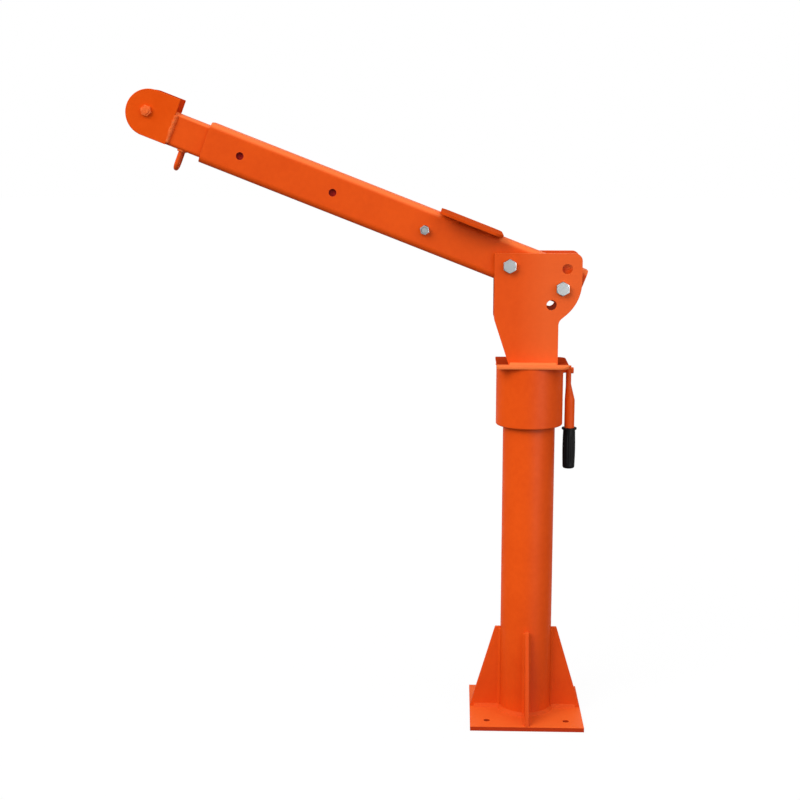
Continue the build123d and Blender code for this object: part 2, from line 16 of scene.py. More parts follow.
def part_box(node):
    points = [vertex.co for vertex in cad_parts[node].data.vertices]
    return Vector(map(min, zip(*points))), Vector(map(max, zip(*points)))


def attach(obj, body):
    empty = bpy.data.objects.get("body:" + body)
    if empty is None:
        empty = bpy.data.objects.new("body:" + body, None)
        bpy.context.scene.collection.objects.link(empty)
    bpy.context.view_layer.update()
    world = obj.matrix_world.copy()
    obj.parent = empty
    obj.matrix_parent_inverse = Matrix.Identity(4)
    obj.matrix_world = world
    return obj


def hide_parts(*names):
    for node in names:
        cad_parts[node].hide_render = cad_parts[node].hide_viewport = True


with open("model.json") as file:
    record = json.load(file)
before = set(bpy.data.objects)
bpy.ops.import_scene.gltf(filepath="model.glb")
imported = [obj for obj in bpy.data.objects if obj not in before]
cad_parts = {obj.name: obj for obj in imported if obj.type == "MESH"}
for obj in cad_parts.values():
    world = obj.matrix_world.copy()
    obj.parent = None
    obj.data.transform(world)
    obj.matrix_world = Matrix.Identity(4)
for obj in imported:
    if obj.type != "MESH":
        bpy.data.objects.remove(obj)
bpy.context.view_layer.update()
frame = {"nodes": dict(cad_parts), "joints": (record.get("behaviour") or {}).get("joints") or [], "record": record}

bl_info = {
    "name": "Swing crane",
    "version": (1, 0, 0),
    "blender": (4, 5, 0),
    "location": "View3D > Sidebar > Swing crane",
    "description": "Finishes, steelwork, welds, bolts, grip and stage of a truck-bed swing crane",
    "category": "Object",
}

# What the frame says
JOINTS = {joint["name"]: joint for joint in frame["joints"]}
SLOT_OF = {part["node"]: part["material_slot"] for part in frame["record"]["subparts"]}
BODIES = frame["record"]["behaviour"]["bodies"]
BODY_OF = {node: body for body, group in BODIES.items() for node in group}
PIVOT = Vector(JOINTS["boom_luff"]["pos_m"])
ALONG = Vector(JOINTS["boom_extend"]["axis"])
RISE = Vector((ALONG.z, 0.0, -ALONG.x))
ACROSS = Vector((0.0, 1.0, 0.0))
UP = Vector((0.0, 0.0, 1.0))
MM = 0.001

# The finish that each of the record's slots gets here
FINISH_OF = {
    "orange_paint": "powder_coat",
    "zinc_steel": "zinc_plate",
    "bare_steel": "turned_steel",
    "bearing_plastic": "black_nylon",
    "bush_bronze": "bearing_bronze",
    "grip_rubber": "black_rubber",
}

# The gussets, by quarter turns from +X
GUSSETS = ("gusset_right", "gusset_rear", "gusset_left", "gusset_front")

# The coats of the painted nodes that are more than plain; most of them carry painted light and shade
COAT_OF = {
    "base_plate": "powder_coat_low",
    "column": "powder_coat_near_floor",
    **dict.fromkeys(GUSSETS, "powder_coat_near_floor"),
    "swivel_plate": "powder_coat_under_bracket",
    "side_plate_near": "powder_coat_in_bracket",
    "side_plate_far": "powder_coat_in_bracket",
    "winch_plate": "powder_coat_under_winch",
    "outer_boom": "powder_coat_on_tube",
    "inner_boom": "powder_coat_on_tube",
    "head_cheek_near": "powder_coat_in_head",
    "head_cheek_far": "powder_coat_in_head",
    # Flecked coat, whose light flecks give the sheave's nut and bolt lighter outlines as painted highlight
    "sheave_bolt": "powder_coat_on_weld",
    "sheave_nut": "powder_coat_on_weld",
}

# One ripple of a weld bead, as changes of its leg, and the shares of the leg at a bead's end
WELD_RIPPLE = (-0.07, 0.0, 0.03, -0.01)
WELD_TAPER = (0.45, 0.68, 0.84, 0.94, 1.0)
# How much a bead's size drifts from ripple to ripple, and the share of the last drift that stays
WELD_DRIFT = 0.07
DRIFT_KEPT = 0.6
# Steps in each quarter of a bead's section: none makes a flat fillet
FLAT_BEAD = 0
ROUND_BEAD = 3

# A bolt's thread: rings to each turn, sides, depth over pitch, slope of its grooves and of its end
THREAD_RINGS = 10
THREAD_SIDES = 48
THREAD_DEPTH = 0.55
GROOVE_SLOPE = 1.25
LEAD_SLOPE = 1.2

# The grip's rounded end, as shares of the barrel's radius at heights from its foot, and its collar,
# as steps in from the collar's radius at depths from the top
GRIP_END = ((0.4, 0.0), (0.72, 0.0), (0.88, 0.7 * MM), (0.96, 2.2 * MM), (1.0, 4.5 * MM))
GRIP_COLLAR = ((0.5 * MM, 4.0 * MM), (0.0, 3.5 * MM), (0.0, 0.6 * MM), (0.6 * MM, 0.0))
GRIP_RINGS = 40
GRIP_SIDES_PER_FLUTE = 8

# How far from the boom's axis the rims of its bolt holes are looked for, and the length of boom in
# which the points found belong to one hole
HOLE_REACH = 15.0 * MM
HOLE_SPACE = 6 * HOLE_REACH

# How meshes are cleaned, rounded and shaded, and how near to a face its own points lie
MERGE_DISTANCE = 0.01 * MM
FLAT_ANGLE = math.radians(0.6)
CREASE_ANGLE = math.radians(35.0)
EDGE_SEGMENTS = 3
ON_FACE = 0.1 * MM

# The pebbles of the plain powder coat: how strong they are and how fine
PAINT_BUMP = 0.22
PAINT_PEEL = 620.0
# Breadth of the lighter edges of paint, thin coat and painted highlight, and of the painted shade on metal rims;
# and of rubbed nylon and rubber
EDGE_TONE_BREADTH = 1.6 * MM
RUBBED_BREADTH = 0.8 * MM

# Width of the camera's sensor in millimetres, and of the floor
SENSOR_WIDTH = 36.0
FLOOR_SIZE = 60.0


class CraneFinish(bpy.types.PropertyGroup):
    """Colours and gloss of the crane's surfaces."""

    paint: FloatVectorProperty(
        name="Paint", description="Colour of the powder coat", subtype="COLOR", min=0.0, max=1.0,
        default=(0.76, 0.086, 0.0065),
    )
    paint_deep: FloatVectorProperty(
        name="Deep paint", description="Powder coat where it lies thick", subtype="COLOR", min=0.0,
        max=1.0, default=(0.70, 0.072, 0.0045),
    )
    # Thin coat over edges, and also the colour of painted highlights and sheen: the boom's upper corners, the
    # bracket's tail and the weld flecks
    paint_thin_and_highlight: FloatVectorProperty(
        name="Edge paint", description="Powder coat drawn thin over an edge", subtype="COLOR", min=0.0,
        max=1.0, default=(0.86, 0.17, 0.040),
    )
    paint_gloss: FloatProperty(
        name="Paint roughness", description="Mean roughness of the powder coat", subtype="FACTOR",
        min=0.0, max=1.0, default=0.47,
    )
    paint_shine: FloatProperty(
        name="Paint shine", description="How strongly the powder coat mirrors", subtype="FACTOR",
        min=0.0, max=1.0, default=0.04,
    )
    # Painted light: the paler, lighter coat laid on the faces that look up
    paint_top_light: FloatVectorProperty(
        name="Faded paint", description="Powder coat on the faces that look up", subtype="COLOR",
        min=0.0, max=1.0, default=(0.78, 0.122, 0.020),
    )
    # Painted light on the ledge of the swivel plate before the bracket
    paint_lit_ledge: FloatVectorProperty(
        name="Rubbed paint", description="Powder coat on the rubbed ledge before the bracket",
        subtype="COLOR", min=0.0, max=1.0, default=(0.85, 0.235, 0.072),
    )
    # Painted shade: under the bracket and the winch plate, between the cheeks and the bracket plates, on the base
    # plate's sides and towards the floor
    paint_shade: FloatVectorProperty(
        name="Grimy paint", description="Powder coat under the grime of edges and corners",
        subtype="COLOR", min=0.0, max=1.0, default=(0.36, 0.022, 0.004),
    )
    # Painted shade in and behind the boom's bolt holes
    hole_shade: FloatVectorProperty(
        name="Grime in holes", description="Powder coat in and behind the boom's bolt holes",
        subtype="COLOR", min=0.0, max=1.0, default=(0.34, 0.009, 0.013),
    )
    zinc: FloatVectorProperty(
        name="Zinc", description="Colour of the zinc plate on the bolts", subtype="COLOR", min=0.0,
        max=1.0, default=(0.25, 0.263, 0.268),
    )
    steel: FloatVectorProperty(
        name="Bare steel", description="Colour of the turned sheave", subtype="COLOR", min=0.0, max=1.0,
        default=(0.48, 0.47, 0.46),
    )
    nylon: FloatVectorProperty(
        name="Nylon", description="Colour of the slide strips and bearing rings", subtype="COLOR",
        min=0.0, max=1.0, default=(0.022, 0.022, 0.024),
    )
    bronze: FloatVectorProperty(
        name="Bronze", description="Colour of the sheave's bush", subtype="COLOR", min=0.0, max=1.0,
        default=(0.48, 0.29, 0.11),
    )
    rubber: FloatVectorProperty(
        name="Rubber", description="Colour of the handle's grip", subtype="COLOR", min=0.0, max=1.0,
        default=(0.0032, 0.003, 0.0032),
    )


class CraneShape(bpy.types.PropertyGroup):
    """Sizes of the edges, welds, threads and grip."""

    plate_edge: FloatProperty(
        name="Plate edge", description="Round of a cut plate's edges", subtype="DISTANCE", unit="LENGTH",
        default=1.1 * MM,
    )
    tube_edge: FloatProperty(
        name="Tube edge", description="Round of a sawn tube's edges", subtype="DISTANCE", unit="LENGTH",
        default=0.8 * MM,
    )
    bolt_edge: FloatProperty(
        name="Bolt edge", description="Round of the edges of bolts and nuts", subtype="DISTANCE",
        unit="LENGTH", default=0.45 * MM,
    )
    weld_leg: FloatProperty(
        name="Weld leg", description="Leg of the main fillet welds", subtype="DISTANCE", unit="LENGTH",
        default=5.0 * MM,
    )
    weld_pitch: FloatProperty(
        name="Weld pitch", description="Length of one ripple of a weld", subtype="DISTANCE",
        unit="LENGTH", default=3.2 * MM,
    )
    weld_seed: IntProperty(
        name="Weld seed", description="Start of the welds' uneven size", default=4, min=0,
    )
    thread_ratio: FloatProperty(
        name="Thread pitch ratio", description="Pitch of a thread over its diameter", default=0.125,
        min=0.05, max=0.3,
    )
    flutes: IntProperty(
        name="Grip flutes", description="Flutes round the rubber grip", default=14, min=6, max=32,
    )


class CraneStage(bpy.types.PropertyGroup):
    """Camera and light."""

    eye: FloatVectorProperty(
        name="Camera place", description="Where the camera stands", subtype="TRANSLATION", unit="LENGTH",
        default=(-0.1614, -3.1491, 1.2785),
    )
    tilt: FloatProperty(
        name="Camera tilt", description="How far the camera looks down", subtype="ANGLE",
        default=math.radians(10.12),
    )
    turn: FloatProperty(
        name="Camera turn", description="How far the camera looks to the left", subtype="ANGLE",
        default=math.radians(2.23),
    )
    lens: FloatProperty(
        name="Lens", description="Focal length in millimetres on a 36 mm sensor", default=65.38,
        min=10.0,
    )
    ambient: FloatProperty(
        name="Ambient", description="Even light from all sides", default=0.80, min=0.0,
    )
    key: FloatProperty(
        name="Key light", description="Strength of the light from the upper left", default=1.95, min=0.0,
    )
    fill: FloatProperty(
        name="Fill light", description="Strength of the soft light from the right", default=0.64,
        min=0.0,
    )
    strip: FloatProperty(
        name="Strip light", description="Power of the wide panel right of the camera", unit="POWER",
        default=240.0, min=0.0,
    )
    lid: FloatProperty(
        name="Top light", description="Power of the panel overhead", unit="POWER", default=40.0, min=0.0,
    )


# Selecting, shaping and settling pieces

def only(piece):
    """Select one object alone and make it active."""
    bpy.ops.object.select_all(action="DESELECT")
    piece.select_set(True)
    bpy.context.view_layer.objects.active = piece


def apply_modifier(piece, kind, **values):
    """Add a modifier with its values to a piece and apply it."""
    only(piece)
    modifier = piece.modifiers.new(kind.lower(), kind)
    for name, value in values.items():
        setattr(modifier, name, value)
    bpy.ops.object.modifier_apply(modifier=modifier.name)


def edit_all(piece):
    """Open a piece in edit mode with everything selected."""
    only(piece)
    bpy.ops.object.mode_set(mode="EDIT")
    bpy.ops.mesh.select_all(action="SELECT")


def edit_edges(piece, chosen):
    """Open a piece in edit mode with only the edges selected whose two ends pass a test."""
    edit_all(piece)
    bpy.ops.mesh.select_mode(type="EDGE")
    bpy.ops.mesh.select_all(action="DESELECT")
    bpy.ops.object.mode_set(mode="OBJECT")
    points = piece.data.vertices
    for edge in piece.data.edges:
        edge.select = chosen(points[edge.vertices[0]].co, points[edge.vertices[1]].co)
    bpy.ops.object.mode_set(mode="EDIT")


def close_edit():
    """Leave edit mode."""
    bpy.ops.object.mode_set(mode="OBJECT")


def finish_of(node):
    """Name of a node's finish."""
    return COAT_OF.get(node) or FINISH_OF[SLOT_OF[node]]


def settle(piece, node, material, stands_for=()):
    """Give a finished piece its material and a node's body, and let it stand for nodes."""
    piece.data.materials.clear()
    piece.data.materials.append(bpy.data.materials[material])
    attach(piece, BODY_OF[node])
    if stands_for:
        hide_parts(*stands_for)
    return piece


def smooth(piece):
    """Shade a piece smooth, with creases kept and broad faces flat."""
    only(piece)
    bpy.ops.object.shade_smooth_by_angle(angle=CREASE_ANGLE)
    apply_modifier(piece, "WEIGHTED_NORMAL", keep_sharp=True)


def merged_copy(node):
    """Copy of a node's mesh with its loose triangles merged into whole faces."""
    piece = bpy.data.objects.new(f"{node}_soft", frame["nodes"][node].data.copy())
    bpy.context.scene.collection.objects.link(piece)
    only(piece)
    bpy.ops.mesh.customdata_custom_splitnormals_clear()
    edit_all(piece)
    bpy.ops.mesh.remove_doubles(threshold=MERGE_DISTANCE)
    bpy.ops.mesh.dissolve_limited(angle_limit=FLAT_ANGLE)
    close_edit()
    return piece


def round_edges(piece, width):
    """Round a piece's sharp edges."""
    apply_modifier(
        piece, "BEVEL", width=width, segments=EDGE_SEGMENTS, limit_method="ANGLE",
        angle_limit=CREASE_ANGLE, use_clamp_overlap=True,
    )


def softened(node, width):
    """Copy of a node with rounded edges, standing for the node."""
    piece = merged_copy(node)
    round_edges(piece, width)
    smooth(piece)
    return settle(piece, node, finish_of(node), (node,))


def points_of(node):
    """Points of a node's mesh."""
    return [vertex.co for vertex in frame["nodes"][node].data.vertices]


def boom_span(node, direction):
    """Lowest and highest reach of a node along a direction from the pivot."""
    reach = [(point - PIVOT).dot(direction) for point in points_of(node)]
    return min(reach), max(reach)


BOOM_AXIS_LIFT = sum(boom_span("outer_boom", RISE)) / 2


def boom_point(s, t, y):
    """Point of the boom at station s, height t and depth y."""
    return PIVOT + ALONG * s + RISE * (t + BOOM_AXIS_LIFT) + ACROSS * y


def turned(name, stations, sides, place, cut=None):
    """Round piece through (radius, height) stations, laid at a place.

    A cut, where one is given, changes each radius by its height and angle.
    """
    bpy.ops.object.select_all(action="DESELECT")
    bpy.ops.mesh.primitive_cylinder_add(vertices=sides, radius=1.0, depth=2.0)
    piece = bpy.context.active_object
    piece.name = name
    edit_edges(piece, lambda first, second: abs(first.z - second.z) > 1.0)
    bpy.ops.mesh.subdivide(number_cuts=len(stations) - 2)
    close_edit()
    for vertex in piece.data.vertices:
        radius, height = stations[round((vertex.co.z + 1.0) / 2.0 * (len(stations) - 1))]
        angle = math.atan2(vertex.co.y, vertex.co.x)
        if cut:
            radius = cut(radius, height, angle)
        vertex.co = (radius * math.cos(angle), radius * math.sin(angle), height)
    piece.data.transform(place)
    return piece


# Node groups and materials

def new_group(name, number, default, result):
    """Shader node group that makes one value from a vector and a number.

    Returns the group, the vector, the number and the socket that takes the result.
    """
    group = bpy.data.node_groups.new(name, "ShaderNodeTree")
    group.interface.new_socket("Vector", in_out="INPUT", socket_type="NodeSocketVector")
    socket = group.interface.new_socket(number, in_out="INPUT", socket_type="NodeSocketFloat")
    socket.default_value = default
    group.interface.new_socket(result, in_out="OUTPUT", socket_type="NodeSocketFloat")
    given = group.nodes.new("NodeGroupInput").outputs
    taken = group.nodes.new("NodeGroupOutput").inputs
    return group, given["Vector"], given[number], taken[result]


def feed(tree, slot, value):
    """Link a socket to an input, or set the input to a value."""
    if isinstance(value, bpy.types.NodeSocket):
        tree.links.new(value, slot)
    else:
        slot.default_value = value


def math_node(tree, operation, *values):
    """Math node on sockets or numbers; returns its output."""
    node = tree.nodes.new("ShaderNodeMath")
    node.operation = operation
    for slot, value in zip(node.inputs, values):
        feed(tree, slot, value)
    return node.outputs[0]


def vector_math(tree, operation, first, second):
    """Vector Math node on sockets or vectors; returns its outputs."""
    node = tree.nodes.new("ShaderNodeVectorMath")
    node.operation = operation
    feed(tree, node.inputs[0], first)
    feed(tree, node.inputs[1], second)
    return node.outputs


def axes_of(tree, vector):
    """Outputs X, Y and Z of a vector."""
    node = tree.nodes.new("ShaderNodeSeparateXYZ")
    tree.links.new(vector, node.inputs["Vector"])
    return node.outputs


def normal_axes(tree):
    """Outputs X, Y and Z of the surface's normal in the object's axes."""
    return axes_of(tree, tree.nodes.new("ShaderNodeTexCoord").outputs["Normal"])


def remap(tree, value, source, target=(0.0, 1.0)):
    """Map Range node from one span to another, clamped; returns its output."""
    node = tree.nodes.new("ShaderNodeMapRange")
    tree.links.new(value, node.inputs["Value"])
    for labels, span in ((("From Min", "From Max"), source), (("To Min", "To Max"), target)):
        for label, limit in zip(labels, span):
            node.inputs[label].default_value = limit
    return node.outputs["Result"]


def noise(tree, vector, scale, detail):
    """Noise texture on a vector; scale is a number or a socket; returns its value."""
    node = tree.nodes.new("ShaderNodeTexNoise")
    tree.links.new(vector, node.inputs["Vector"])
    feed(tree, node.inputs["Scale"], scale)
    node.inputs["Detail"].default_value = detail
    return node.outputs["Fac"]


def mix_colour(tree, mask, first, second):
    """Mix of two colours, each a socket or a colour, by a mask; returns the colour."""
    node = tree.nodes.new("ShaderNodeMix")
    node.data_type = "RGBA"
    tree.links.new(mask, node.inputs["Factor"])
    for slot, value in ((node.inputs["A"], first), (node.inputs["B"], second)):
        feed(tree, slot, value if isinstance(value, bpy.types.NodeSocket) else (*value, 1.0))
    return node.outputs["Result"]


def make_mottle():
    """Group: broad and fine cloudiness of a coat, as a mask."""
    group, place, scale, mask = new_group("Mottle", "Scale", 10.0, "Mask")
    fine_over_broad = 8.0
    fine_share = 0.5
    broad = noise(group, place, scale, detail=3.0)
    fine = noise(group, place, math_node(group, "MULTIPLY", scale, fine_over_broad), detail=2.0)
    both = math_node(group, "ADD", broad, math_node(group, "MULTIPLY", fine, fine_share))
    group.links.new(remap(group, both, (0.5, 1.0)), mask)


def make_orange_peel():
    """Group: fine pebbling over long shallow waves, as a height."""
    group, place, scale, height = new_group("Orange Peel", "Scale", 600.0, "Height")
    wave_over_pebble = 0.12
    pebble_share = 0.35
    pebbles = noise(group, place, scale, detail=1.0)
    waves = noise(group, place, math_node(group, "MULTIPLY", scale, wave_over_pebble), detail=1.0)
    both = math_node(group, "ADD", math_node(group, "MULTIPLY", pebbles, pebble_share), waves)
    group.links.new(both, height)


def make_edge_mask():
    """Group: edges, from how far the rounded normal leans from the face's own; the materials lay worn edges, thin
    coat, painted highlight and painted shade on it.
    """
    group, place, breadth, mask = new_group("Edge Mask", "Breadth", 1.5 * MM, "Mask")
    bevel = group.nodes.new("ShaderNodeBevel")
    bevel.samples = 4
    group.links.new(breadth, bevel.inputs["Radius"])
    face = group.nodes.new("ShaderNodeNewGeometry").outputs["True Normal"]
    lean = vector_math(group, "DOT_PRODUCT", bevel.outputs["Normal"], face)["Value"]
    edge = remap(group, lean, (0.995, 0.86))
    broken = remap(group, noise(group, place, scale=60.0, detail=3.0), (0.35, 0.65), (0.35, 1.0))
    group.links.new(math_node(group, "MULTIPLY", edge, broken), mask)


def make_upward():
    """Group: faces that look up, broken by a slow noise, as a mask."""
    group, place, scale, mask = new_group("Upward Faces", "Scale", 22.0, "Mask")
    upward = remap(group, normal_axes(group)["Z"], (0.45, 0.95))
    uneven = remap(group, noise(group, place, scale, detail=3.0), (0.3, 0.7), (0.8, 1.0))
    group.links.new(math_node(group, "MULTIPLY", upward, uneven), mask)


def make_fine_lines():
    """Group: fine tool marks that run round an axis or along a face, as a height."""
    group, place, scale, height = new_group("Fine Lines", "Scale", 900.0, "Height")
    group.links.new(remap(group, noise(group, place, scale, detail=2.0), (0.3, 0.7)), height)


def place_group(tree, name, vector, **values):
    """Group node in a material, fed with a vector and its own values."""
    node = tree.nodes.new("ShaderNodeGroup")
    node.node_tree = bpy.data.node_groups[name]
    tree.links.new(vector, node.inputs["Vector"])
    for label, value in values.items():
        node.inputs[label].default_value = value
    return node


def new_material(name):
    """Material with a Principled shader; returns its tree, the shader and the object coordinates."""
    material = bpy.data.materials.new(name)
    material.use_nodes = True
    tree = material.node_tree
    shader = tree.nodes["Principled BSDF"]
    place = tree.nodes.new("ShaderNodeTexCoord").outputs["Object"]
    return tree, shader, place


def add_bump(tree, shader, height, strength, distance):
    """Bump from a height into the shader's normal."""
    bump = tree.nodes.new("ShaderNodeBump")
    bump.inputs["Strength"].default_value = strength
    bump.inputs["Distance"].default_value = distance
    tree.links.new(height, bump.inputs["Height"])
    tree.links.new(bump.outputs["Normal"], shader.inputs["Normal"])


def cloud_gloss(tree, shader, cloud, roughest, smoothest):
    """Let the roughness follow the cloudiness between two values."""
    rough = remap(tree, cloud, (0.0, 1.0), (roughest, smoothest))
    tree.links.new(rough, shader.inputs["Roughness"])


def lay_over(tree, shader, mask, under, over):
    """Lay one colour over another by a mask and give the result to the shader."""
    tree.links.new(mix_colour(tree, mask, under, over), shader.inputs["Base Color"])


def make_paint(name, look, bump_strength=PAINT_BUMP, peel_scale=PAINT_PEEL):
    """Orange powder coat: cloudy colour, tops paler and lighter as painted light, edges lighter as thin coat and
    painted highlight, pebbled surface.

    Returns its tree, the shader, the object coordinates and the colour.
    """
    tree, shader, place = new_material(name)
    shader.inputs["Specular IOR Level"].default_value = look.paint_shine
    cloud = place_group(tree, "Mottle", place, Scale=11.0).outputs["Mask"]
    edge = place_group(tree, "Edge Mask", place, Breadth=EDGE_TONE_BREADTH).outputs["Mask"]
    body = mix_colour(tree, cloud, look.paint_deep, look.paint)
    # Painted light: the faces that look up are laid over with a paler, lighter coat
    upward = place_group(tree, "Upward Faces", place).outputs["Mask"]
    lit_tops = mix_colour(tree, upward, body, look.paint_top_light)
    # Edges are lightened: partly thin coat, partly a painted highlight
    edge_share = 0.45
    thin = math_node(tree, "MULTIPLY", edge, edge_share)
    colour = mix_colour(tree, thin, lit_tops, look.paint_thin_and_highlight)
    tree.links.new(colour, shader.inputs["Base Color"])
    cloud_gloss(tree, shader, cloud, look.paint_gloss + 0.07, look.paint_gloss - 0.05)
    peel = place_group(tree, "Orange Peel", place, Scale=peel_scale).outputs["Height"]
    add_bump(tree, shader, peel, bump_strength, distance=0.5 * MM)
    return tree, shader, place, colour


def make_weld_paint(look):
    """Powder coat on a rough bead: light flecks, partly thin coat over the ripples and partly painted light that
    brightens beads lying in shade.
    """
    tree, shader, place, colour = make_paint(
        "powder_coat_on_weld", look, bump_strength=0.55, peel_scale=480.0
    )
    flecks = remap(tree, noise(tree, place, scale=420.0, detail=2.0), (0.40, 0.60), (0.3, 1.0))
    lay_over(tree, shader, flecks, colour, look.paint_thin_and_highlight)


def make_lit_and_shaded_paint(name, look, behind, share, rest_before, rest_behind):
    """Matt powder coat with a painted lit ledge before a depth y and painted shade behind it.

    The share is laid on the faces that look up, the rests on the others before and behind that depth.
    """
    tree, shader, place, colour = make_paint(name, look)
    shader.inputs["Specular IOR Level"].default_value = 0.0
    border = (behind - 1.0 * MM, behind + 3.0 * MM)
    inside = remap(tree, axes_of(tree, place)["Y"], border)
    tone = mix_colour(tree, inside, look.paint_lit_ledge, look.paint_shade)
    upward = place_group(tree, "Upward Faces", place).outputs["Mask"]
    rest = remap(tree, inside, (0.0, 1.0), (rest_before, rest_behind))
    cover = math_node(tree, "MAXIMUM", math_node(tree, "MULTIPLY", upward, share), rest)
    lay_over(tree, shader, cover, colour, tone)


def make_low_paint(look, top):
    """Powder coat with painted shade on a plate's side faces, below its top at a level z."""
    tree, shader, place, colour = make_paint("powder_coat_low", look)
    below_edge = (top - 1.2 * MM, top - 0.2 * MM)
    shade_mask = remap(tree, axes_of(tree, place)["Z"], below_edge, (0.85, 0.0))
    lay_over(tree, shader, shade_mask, colour, look.paint_shade)


def make_near_floor_paint(look, level):
    """Powder coat with painted shade that grows deeper from above a level z down towards the floor."""
    tree, shader, place, colour = make_paint("powder_coat_near_floor", look)
    downwards = (1.5 * level, 0.3 * level)
    lower = remap(tree, axes_of(tree, place)["Z"], downwards, (0.0, 0.32))
    lay_over(tree, shader, lower, colour, look.paint_shade)


def bolt_holes():
    """Centre (x, z) and radius of each of the outer boom's holes for the extension bolt."""
    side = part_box("outer_boom")[0].y
    bolt_station = sum(boom_span("extension_nut", ALONG)) / 2
    rims = {}
    for point in points_of("outer_boom"):
        from_pivot = point - PIVOT
        inward = abs(from_pivot.dot(RISE) - BOOM_AXIS_LIFT) < HOLE_REACH
        station = from_pivot.dot(ALONG)
        if inward and abs(point.y - side) < ON_FACE and station > bolt_station - HOLE_REACH:
            rims.setdefault(round((station - bolt_station) / HOLE_SPACE), []).append(point)
    holes = []
    for rim in rims.values():
        centre = sum(rim, Vector()) / len(rim)
        holes.append((centre.x, centre.z, max((point - centre).length for point in rim)))
    return holes


def make_tube_paint(look, start, end):
    """Powder coat with a painted highlight over the boom's upper corners, left out between two stations s.

    Painted shade sits in the bolt holes and on the inner tube behind them.
    """
    tree, shader, place, colour = make_paint("powder_coat_on_tube", look)
    normal = normal_axes(tree)
    upper = remap(tree, normal["Z"], (0.15, 0.5), (0.0, 0.9))
    aside = remap(tree, math_node(tree, "ABSOLUTE", normal["Y"]), (0.2, 0.5), (0.3, 1.0))
    reach = vector_math(tree, "DOT_PRODUCT", place, ALONG)["Value"]
    from_middle = math_node(tree, "SUBTRACT", reach, PIVOT.dot(ALONG) + (start + end) / 2)
    half = (end - start) / 2
    fade = 6.0 * MM
    clear = remap(tree, math_node(tree, "ABSOLUTE", from_middle), (half - fade, half))
    corner = math_node(tree, "MULTIPLY", math_node(tree, "MULTIPLY", upper, aside), clear)
    colour = mix_colour(tree, corner, colour, look.paint_thin_and_highlight)
    flat = vector_math(tree, "MULTIPLY", place, (1.0, 0.0, 1.0))["Vector"]
    # Painted shade round each bolt hole
    for x, z, radius in bolt_holes():
        away = vector_math(tree, "DISTANCE", flat, (x, 0.0, z))["Value"]
        rim = (radius + 0.1 * MM, radius + 0.4 * MM)
        shade_mask = remap(tree, away, rim, (0.9, 0.0))
        colour = mix_colour(tree, shade_mask, colour, look.hole_shade)
    tree.links.new(colour, shader.inputs["Base Color"])


def make_inner_shade_paint(name, look, inner, share, shine, sheen_span=None, sheen_share=0.0):
    """Powder coat with a share of painted shade on the faces that look inwards, at a depth y on both sides.

    Over a span of x, where one is given, a painted sheen lightens it up to the share given for that.
    """
    tree, shader, place, colour = make_paint(name, look)
    shader.inputs["Specular IOR Level"].default_value = shine
    axes = axes_of(tree, place)
    if sheen_span:
        thin = remap(tree, axes["X"], sheen_span, (0.0, sheen_share))
        colour = mix_colour(tree, thin, colour, look.paint_thin_and_highlight)
    depth = math_node(tree, "ABSOLUTE", axes["Y"])
    border = (inner + 0.4 * MM, inner + 1.4 * MM)
    inner_shade = remap(tree, depth, border, (share, 0.0))
    lay_over(tree, shader, inner_shade, colour, look.paint_shade)


def make_metal(name, colour, roughness, line_stretch, line_strength):
    """Bare or plated metal: cloudy tint, painted shade on the rims and tool marks stretched along the axes."""
    tree, shader, place = new_material(name)
    shader.inputs["Metallic"].default_value = 0.85
    cloud = place_group(tree, "Mottle", place, Scale=70.0).outputs["Mask"]
    rim = place_group(tree, "Edge Mask", place, Breadth=EDGE_TONE_BREADTH).outputs["Mask"]
    dull_share = 0.78
    # The rims are darkened as painted shade
    rim_share = 0.4
    dull = [channel * dull_share for channel in colour]
    shaded = [channel * rim_share for channel in colour]
    lay_over(tree, shader, rim, mix_colour(tree, cloud, dull, colour), shaded)
    cloud_gloss(tree, shader, cloud, roughness + 0.1, roughness - 0.04)
    stretch = tree.nodes.new("ShaderNodeMapping")
    stretch.inputs["Scale"].default_value = line_stretch
    tree.links.new(place, stretch.inputs["Vector"])
    lines = place_group(tree, "Fine Lines", stretch.outputs["Vector"], Scale=900.0).outputs["Height"]
    add_bump(tree, shader, lines, line_strength, distance=0.1 * MM)


def make_soft_plastic(name, colour, roughness, grain_scale, grain):
    """Black nylon or rubber: cloudy, with a fine grain and rubbed edges."""
    tree, shader, place = new_material(name)
    shader.inputs["Specular IOR Level"].default_value = 0.05
    cloud = place_group(tree, "Mottle", place, Scale=45.0).outputs["Mask"]
    edge = place_group(tree, "Edge Mask", place, Breadth=RUBBED_BREADTH).outputs["Mask"]
    dull_share = 0.8
    worn_share = 1.9
    worn_grey = 0.006
    dull = [channel * dull_share for channel in colour]
    worn = [channel * worn_share + worn_grey for channel in colour]
    lay_over(tree, shader, edge, mix_colour(tree, cloud, dull, colour), worn)
    cloud_gloss(tree, shader, cloud, roughness + 0.08, roughness - 0.06)
    height = place_group(tree, "Orange Peel", place, Scale=grain_scale).outputs["Height"]
    add_bump(tree, shader, height, grain, distance=0.3 * MM)


